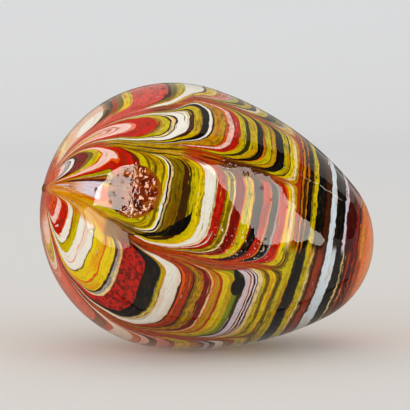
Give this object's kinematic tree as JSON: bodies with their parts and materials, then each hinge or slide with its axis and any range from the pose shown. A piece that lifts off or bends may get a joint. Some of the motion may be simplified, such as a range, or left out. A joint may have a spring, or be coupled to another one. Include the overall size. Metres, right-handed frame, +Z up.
{
  "type": "glass egg",
  "caption": "Solid glass egg lying on its flank: combed trails of coloured glass over a clear core, sealed under a clear casing, with a pontil scar on the blunt pole.",
  "frame": {"origin": "on the surface that the egg lies on, under the middle of its box", "axes": "+Z up, +X along the egg towards its narrow end, which dips by the tilt at which the egg comes to rest"},
  "size_m": [0.109, 0.0856, 0.0861],
  "materials": {
    "clear_glass": "clear, fused to the coat over it",
    "casing_glass": "clear, fire polished and glossy",
    "amber_glass": "transparent amber",
    "window_glass": "transparent amber with bubbles",
    "coral_glass": "translucent orange",
    "scar_glass": "rough where the rod was cracked off",
    "orange_trail": "opaque coloured glass, glossy under the casing",
    "pink_trail": "opaque coloured glass, glossy under the casing",
    "red_trail": "opaque coloured glass, glossy under the casing",
    "white_trail": "opaque coloured glass, glossy under the casing",
    "lime_trail": "opaque coloured glass, glossy under the casing",
    "yellow_trail": "opaque coloured glass, glossy under the casing",
    "cream_trail": "opaque coloured glass, glossy under the casing",
    "black_trail": "opaque coloured glass, glossy under the casing",
    "olive_trail": "opaque coloured glass, glossy under the casing",
    "maroon_trail": "opaque coloured glass, glossy under the casing",
    "amber_trail": "opaque coloured glass, glossy under the casing",
    "lilac_trail": "opaque coloured glass, glossy under the casing",
    "russet_trail": "opaque coloured glass, glossy under the casing",
    "grey_trail": "opaque coloured glass, glossy under the casing"
  },
  "bodies": {
    "root": {"core_gather": "clear_glass", "ground_coat": "amber_glass", "trail_01_orange": "orange_trail", "trail_02_pink": "pink_trail", "trail_03_red": "red_trail", "trail_04_white": "white_trail", "trail_05_lime": "lime_trail", "trail_06_white": "white_trail", "trail_07_yellow": "yellow_trail", "trail_08_cream": "cream_trail", "trail_09_red": "red_trail", "trail_10_black": "black_trail", "trail_11_yellow": "yellow_trail", "trail_12_white": "white_trail", "trail_13_red": "red_trail", "trail_14_olive": "olive_trail", "trail_15_maroon": "maroon_trail", "trail_16_amber": "amber_trail", "trail_17_lime": "lime_trail", "trail_18_lilac": "lilac_trail", "trail_19_yellow": "yellow_trail", "trail_20_olive": "olive_trail", "trail_21_yellow": "yellow_trail", "trail_22_black": "black_trail", "trail_23_lime": "lime_trail", "trail_24_russet": "russet_trail", "trail_25_white": "white_trail", "trail_26_black": "black_trail", "trail_27_grey": "grey_trail", "trail_28_maroon": "maroon_trail", "trail_29_russet": "russet_trail", "tip_cover": "coral_glass", "amber_window": "window_glass", "pontil_scar": "scar_glass", "clear_casing": "casing_glass"}
  },
  "joints": []
}
